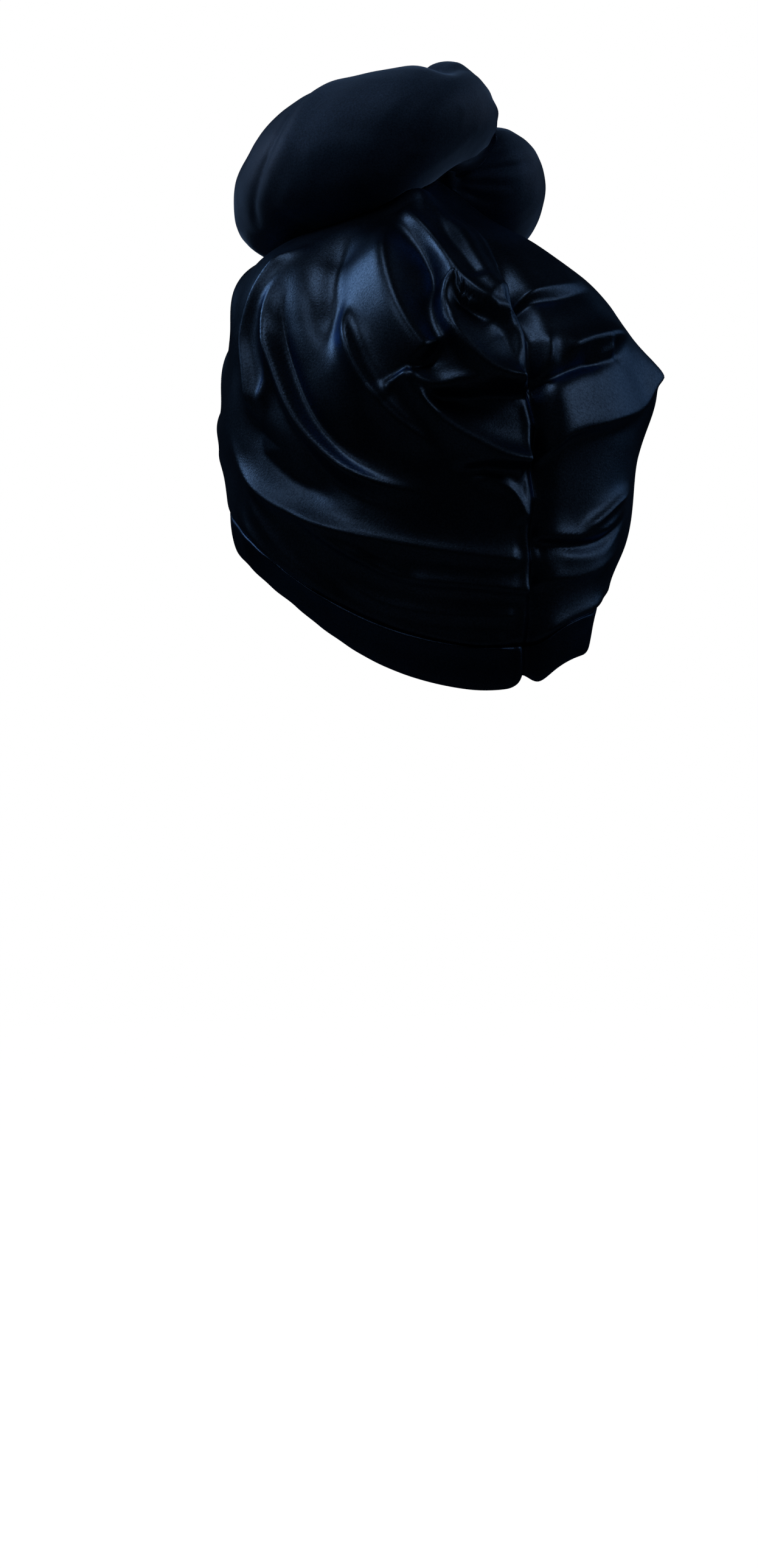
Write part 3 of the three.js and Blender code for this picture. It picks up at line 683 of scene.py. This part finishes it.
# %% Resting the rolls
REST_GAP = 0.4


def cap_coordinates(points):
    """The angle, height and distance of points in space: the opposite of cap_point."""
    x, y, z = points.T
    flat = np.hypot(x, y)
    tilt = np.arctan2(np.maximum(z - EQUATOR, 0), flat)
    height = np.where(z > EQUATOR, EQUATOR + DOME_RADIUS * tilt, z)
    return np.degrees(np.arctan2(x, y)), height, np.hypot(flat, np.maximum(z - EQUATOR, 0))


def rest_on_cap(piece):
    """Moves points that are inside the cap out to just above its outer face."""
    points = coordinates(piece)
    angle, height, distance = cap_coordinates(points)
    surface = np.empty(len(points))
    for side in (1, -1):
        own = (angle > 0) == (side > 0)
        face = outer_cloth(angle[own], height[own], side)
        surface[own] = cap_coordinates(face)[2]
    sunk = np.maximum(surface + REST_GAP - distance, 0)
    move_points(piece, points + sunk[:, None] * outward(angle, height))
    print(piece.name, "rests on the cap over", int((sunk > 0).sum()), "points")


for roll in (over_roll, under_roll):
    apply_modifier(roll, "SUBSURF", levels=2, render_levels=2)
    rest_on_cap(roll)
apply_modifier(
    under_roll, "SHRINKWRAP", target=over_roll, wrap_method="NEAREST_SURFACEPOINT", wrap_mode="OUTSIDE",
    offset=REST_GAP * MM,
)

# %% [markdown]
# The last touches come after the simulation, because it would smooth them away: the lengthwise seam, the
# dents between lumps of stuffing, and the gathers at the ends, where the tubes are drawn together. They are
# the same folds as on the cap, but their lines are drawn on a roll: a turn round the knot's axis and an
# angle round the tube.

# %% Seam, dents and gathers
OVER_FOLDS = {
    "seam": Fold(
        [(70, 115), (75, 75), (77, 45), (76, 15), (84, -20), (98, -60)],
        -2.6, 0, 1.0, 1.6, 1.6, 0.1, 0.1,
    ),
    "beside the seam": Fold(
        [(62, 115), (67, 75), (69, 45), (68, 15), (76, -20), (90, -60)],
        1.2, 0, 3, 5, 5, 0.2, 0.2,
    ),
    "top dent": Fold([(2, 140), (1, 100), (-4, 70), (-8, 40)], -4.5, 0, 2, 3, 3, 0.3, 0.4),
    "end lobe": Fold([(-14, 120), (-18, 90), (-20, 60)], 2.5, 0, 4, 6, 6, 0.3, 0.3),
    "long dent": Fold([(60, 20), (35, 5), (10, -5)], -1.2, 0, 5, 8, 8, 0.3, 0.3),
}
UNDER_FOLDS = {}
for around in (-150, -115, -85, -58, -30, -5, 25):
    OVER_FOLDS[f"pucker {around}"] = Fold(
        [(-54, around), (-42, around), (-24, around + 6)],
        -2.6, 0, 1.0, 1.6, 1.6, 0, 0.7,
    )
for around, length in ((85, 22), (62, 34), (40, 26), (15, 36), (-12, 24), (-40, 20)):
    path = [(-22, around), (-32, around - 4), (-24 - length, around + 4)]
    UNDER_FOLDS[f"gather {around}"] = Fold(path, -4.5, 0, 1.2, 2.0, 2.0, 0, 0.6)
LUMP = 0.7  # stuffing is never quite even
LUMP_WAVES = np.array([[0.11, 0.05, 0.09], [-0.06, 0.12, 0.07], [0.08, -0.09, 0.12]])


def smooth_normals(piece):
    normals = np.empty(len(piece.data.vertices) * 3)
    piece.data.vertices.foreach_get("normal", normals)
    return normals.reshape(-1, 3)


def finish_roll(piece, stations, folds):
    """Moves each point along its own normal: the folds, and lumps that are a product of three slow waves."""
    points, normals = coordinates(piece), smooth_normals(piece)
    table = np.array(stations, float)
    moved = LUMP * np.prod(np.sin(points @ LUMP_WAVES.T + [0.4, 1.9, 3.1]), axis=1)[:, None] * normals
    for fold in folds.values():
        route = curve_through(fold.path, FOLD_STEPS)
        row = np.stack([np.interp(route[:, 0], table[:, 0], table[:, k]) for k in range(6)], axis=1)
        line = roll_points(row, np.radians(route[:, 1])[:, None])[:, 0]
        moved += lift(fold, line, points, normals)
    move_points(piece, points + moved)
    piece.data.polygons.foreach_set("use_smooth", np.ones(len(piece.data.polygons), bool))
    print(piece.name, "has", len(folds), "folds and", len(piece.data.polygons), "faces")


finish_roll(over_roll, OVER_ROLL, OVER_FOLDS)
finish_roll(under_roll, UNDER_ROLL, UNDER_FOLDS)
rest_on_cap(over_roll)
rest_on_cap(under_roll)

# %% [markdown]
# ## Velvet
# Velvet is a dense pile of short upright fibres. It looks almost black where it is seen straight on, it
# glows at its edges, and on a tight fold the laid-down pile throws a soft silky line of light. The cap and
# the hem use the Principled shader's Metallic value for this: it takes the diffuse part away, so the flats
# stay dark, and it tints the highlights with the dye. The knot is only partly metallic and has a bluish
# sheen as well, because its pile is less stretched and looks frosted. A shared node group adds the grain of
# the pile and the brushed patches.

# %% The pile group
def pile_group():
    """Inputs set the size of the grain and of the brushed patches. It puts out a tone, a roughness change and a
    height."""
    group = bpy.data.node_groups.new("velvet_pile", "ShaderNodeTree")
    for name, default in (("Grain Scale", 2200.0), ("Patch Scale", 22.0), ("Weave Scale", 1300.0)):
        socket = group.interface.new_socket(name, in_out="INPUT", socket_type="NodeSocketFloat")
        socket.default_value = default
    for name in ("Tone", "Nap", "Height"):
        group.interface.new_socket(name, in_out="OUTPUT", socket_type="NodeSocketFloat")
    nodes, links = group.nodes, group.links
    inside, outside = nodes.new("NodeGroupInput"), nodes.new("NodeGroupOutput")
    place = nodes.new("ShaderNodeTexCoord")

    def noise(scale_socket, detail, roughness):
        texture = nodes.new("ShaderNodeTexNoise")
        texture.inputs["Detail"].default_value = detail
        texture.inputs["Roughness"].default_value = roughness
        links.new(place.outputs["Object"], texture.inputs["Vector"])
        links.new(inside.outputs[scale_socket], texture.inputs["Scale"])
        return texture.outputs["Fac"]

    def spread(value, low, high):
        scaled = nodes.new("ShaderNodeMapRange")
        scaled.inputs["From Min"].default_value = 0.3
        scaled.inputs["From Max"].default_value = 0.7
        scaled.inputs["To Min"].default_value = low
        scaled.inputs["To Max"].default_value = high
        links.new(value, scaled.inputs["Value"])
        return scaled.outputs["Result"]

    grain, patch = noise("Grain Scale", 3, 0.7), noise("Patch Scale", 4, 0.55)
    weave = noise("Weave Scale", 1, 0.5)
    tone = nodes.new("ShaderNodeMath")
    tone.operation = "MULTIPLY"
    links.new(spread(grain, 0.55, 1.45), tone.inputs[0])
    links.new(spread(patch, 0.75, 1.25), tone.inputs[1])
    height = nodes.new("ShaderNodeMath")
    height.operation = "ADD"
    links.new(grain, height.inputs[0])
    links.new(weave, height.inputs[1])
    links.new(tone.outputs[0], outside.inputs["Tone"])
    links.new(spread(patch, 0.0, 1.0), outside.inputs["Nap"])
    links.new(height.outputs[0], outside.inputs["Height"])
    return group


PILE = pile_group()


def velvet(name, dye, shine, roughness, sheen, tint, grain):
    """One velvet. The pile group changes its colour, roughness and normal over the surface. Shine is the Metallic
    value: it gives the highlights the colour of the dye."""
    material = bpy.data.materials.new(name)
    material.use_nodes = True
    nodes, links = material.node_tree.nodes, material.node_tree.links
    shader = nodes["Principled BSDF"]
    pile = nodes.new("ShaderNodeGroup")
    pile.node_tree = PILE
    pile.inputs["Grain Scale"].default_value = grain
    colour = nodes.new("ShaderNodeMix")
    colour.data_type = "RGBA"
    colour.blend_type = "MULTIPLY"
    colour.inputs["Factor"].default_value = 1.0
    colour.inputs["A"].default_value = (*dye, 1)
    grey = nodes.new("ShaderNodeCombineColor")
    for channel in ("Red", "Green", "Blue"):
        links.new(pile.outputs["Tone"], grey.inputs[channel])
    links.new(grey.outputs["Color"], colour.inputs["B"])
    links.new(colour.outputs["Result"], shader.inputs["Base Color"])
    rough = nodes.new("ShaderNodeMapRange")
    rough.inputs["To Min"].default_value = roughness - 0.05
    rough.inputs["To Max"].default_value = roughness + 0.05
    links.new(pile.outputs["Nap"], rough.inputs["Value"])
    links.new(rough.outputs["Result"], shader.inputs["Roughness"])
    bump = nodes.new("ShaderNodeBump")
    bump.inputs["Strength"].default_value = 0.35
    bump.inputs["Distance"].default_value = 0.00012
    links.new(pile.outputs["Height"], bump.inputs["Height"])
    links.new(bump.outputs["Normal"], shader.inputs["Normal"])
    shader.inputs["Metallic"].default_value = shine
    shader.inputs["Sheen Weight"].default_value = sheen
    shader.inputs["Sheen Roughness"].default_value = 0.4
    shader.inputs["Sheen Tint"].default_value = (*tint, 1)
    shader.inputs["Specular IOR Level"].default_value = 0.2
    shader.inputs["Specular Tint"].default_value = (0.50, 0.66, 1.0, 1)
    return material


cap_velvet = velvet("cap_velvet", (0.047, 0.082, 0.150), 1.0, 0.37, 0.0, (0.4, 0.6, 1.0), 1200)
hem_velvet = velvet("hem_velvet", (0.032, 0.060, 0.128), 1.0, 0.36, 0.0, (0.4, 0.6, 1.0), 1500)
knot_velvet = velvet("knot_velvet", (0.034, 0.070, 0.150), 0.35, 0.56, 1.0, (0.32, 0.55, 1.0), 1400)

# %% [markdown]
# ## What each piece stands for
# Each piece rides on the one body and replaces a CAD node. A real panel is cut larger than these surfaces
# hold, because its tucks hide more cloth than is modelled here.

# %% Ride and replace
PIECES = (
    (left_panel, "left_panel", "cap_velvet", cap_velvet),
    (right_panel, "right_panel", "cap_velvet", cap_velvet),
    (hem_left, "hem_left", "hem_velvet", hem_velvet),
    (hem_right, "hem_right", "hem_velvet", hem_velvet),
    (over_roll, "knot_over_roll", "knot_velvet", knot_velvet),
    (under_roll, "knot_under_roll", "knot_velvet", knot_velvet),
)
for piece, node, slot, material in PIECES:
    piece.data.materials.append(material)
    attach(piece, ROOT)
    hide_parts(node)

# %% [markdown]
# ## The studio
# Dark velvet is all highlights, so the light does the drawing. Big soft boxes stand to the left, the right
# and above, a little behind the turban, where they catch the edges of the folds and leave the faces between
# them dark. Two softer ones in front fill in. The floor and the background are plain white: they glow for
# the camera only, so that no light comes up from below to wash the velvet out.

# %% Studio
FLOOR_Z = -0.345


def glow_for_camera(tree, strength_elsewhere):
    """A Light Path node that gives 1 to what the camera sees directly, and a small value to every other ray."""
    path = tree.nodes.new("ShaderNodeLightPath")
    strength = tree.nodes.new("ShaderNodeMapRange")
    strength.inputs["To Min"].default_value = strength_elsewhere
    strength.inputs["To Max"].default_value = 1.0
    tree.links.new(path.outputs["Is Camera Ray"], strength.inputs["Value"])
    return strength.outputs["Result"]


corner = 4.0
floor_points = np.array([(-corner, -corner), (corner, -corner), (corner, corner), (-corner, corner)])
floor_points = np.hstack([floor_points, np.full((4, 1), FLOOR_Z)])
floor = mesh_object("floor", floor_points / MM, [(0, 1, 2, 3)])
paper = bpy.data.materials.new("floor_paper")
paper.use_nodes = True
paper_shader = paper.node_tree.nodes["Principled BSDF"]
paper_shader.inputs["Base Color"].default_value = (0.1, 0.1, 0.1, 1)
paper_shader.inputs["Roughness"].default_value = 0.9
paper_shader.inputs["Emission Color"].default_value = (1, 1, 1, 1)
paper.node_tree.links.new(glow_for_camera(paper.node_tree, 0.0), paper_shader.inputs["Emission Strength"])
floor.data.materials.append(paper)


def soft_light(name, right, up, near, size, power):
    """A square light placed by how far it is to the camera's right, up, and towards the camera, aimed at the cap."""
    target = np.array([0.0, 0.0, 0.12])
    place = target + right * to_the_right + np.array([0, 0, up]) + near * away
    data = bpy.data.lights.new(name, "AREA")
    data.shape = "SQUARE"
    data.size = size
    data.energy = power
    light = bpy.data.objects.new(name, data)
    light.location = place
    direction = target - place
    turn = math.atan2(direction[1], direction[0]) - math.pi / 2
    tip = math.atan2(direction[2], math.hypot(direction[0], direction[1])) + math.pi / 2
    light.rotation_euler = (tip, 0, turn)
    bpy.context.scene.collection.objects.link(light)


soft_light("left", -1.4, 0.9, -0.6, 0.6, 3.4)
soft_light("right", 1.4, 0.6, -0.7, 1.0, 1.2)
soft_light("above", -0.4, 1.4, 0.4, 0.5, 1.3)
soft_light("front_left", -1.1, 0.9, 0.5, 0.4, 0.5)
soft_light("front_right", 1.1, 0.75, 0.25, 0.6, 0.8)

world = bpy.data.worlds.new("studio")
world.use_nodes = True
world.node_tree.nodes["Background"].inputs["Color"].default_value = (1, 1, 1, 1)
world.node_tree.links.new(
    glow_for_camera(world.node_tree, 0.008), world.node_tree.nodes["Background"].inputs["Strength"]
)
bpy.context.scene.world = world
bpy.context.scene.view_settings.view_transform = "Standard"  # keeps white paper white and dark velvet dark
